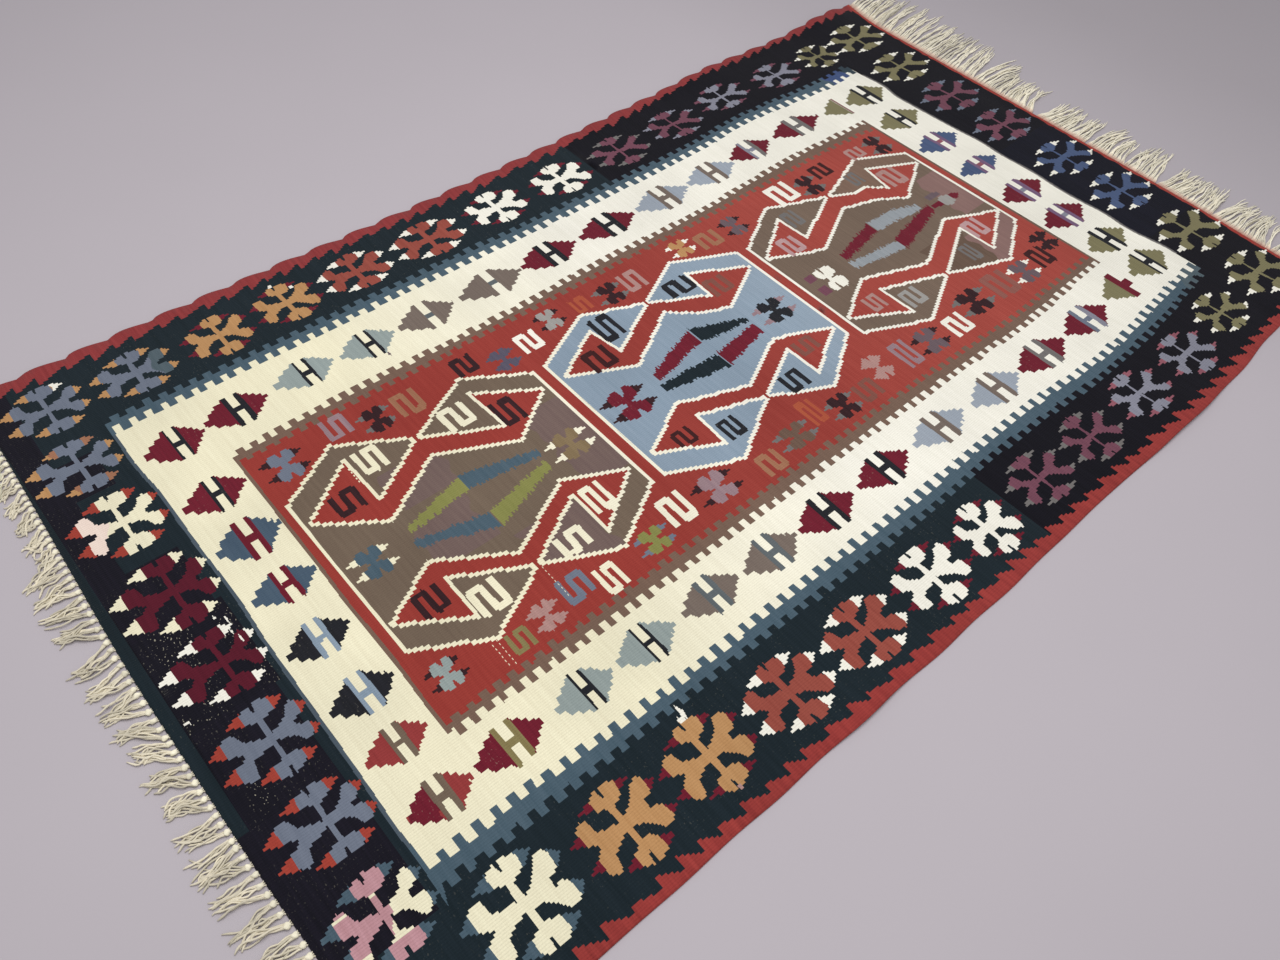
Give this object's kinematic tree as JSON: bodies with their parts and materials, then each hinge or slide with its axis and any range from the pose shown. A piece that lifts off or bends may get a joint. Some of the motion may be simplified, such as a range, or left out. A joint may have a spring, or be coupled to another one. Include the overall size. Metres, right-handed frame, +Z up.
{
  "type": "kilim rug",
  "caption": "Flat-woven wool kilim lying on the floor, with stepped borders, hooked medallions in a red field, a knotted fringe at one end and a plain one at the other.",
  "frame": {"origin": "middle of the whole rug, fringes included, on the floor it lies on", "axes": "+Z up, +Y along the length from the knotted fringe to the plain fringe, +X across to the right long edge seen from the knotted end"},
  "size_m": [1.566, 2.7836, 0.0146],
  "materials": {
    "woven_wool": "matte slit-tapestry wool weave in red, dark green-black, ivory, steel blue and brown",
    "undyed_yarn": "matte undyed twisted wool yarn"
  },
  "bodies": {
    "root": {"woven_cloth": "woven_wool", "knotted_fringe": "undyed_yarn", "plain_fringe": "undyed_yarn"}
  },
  "joints": []
}
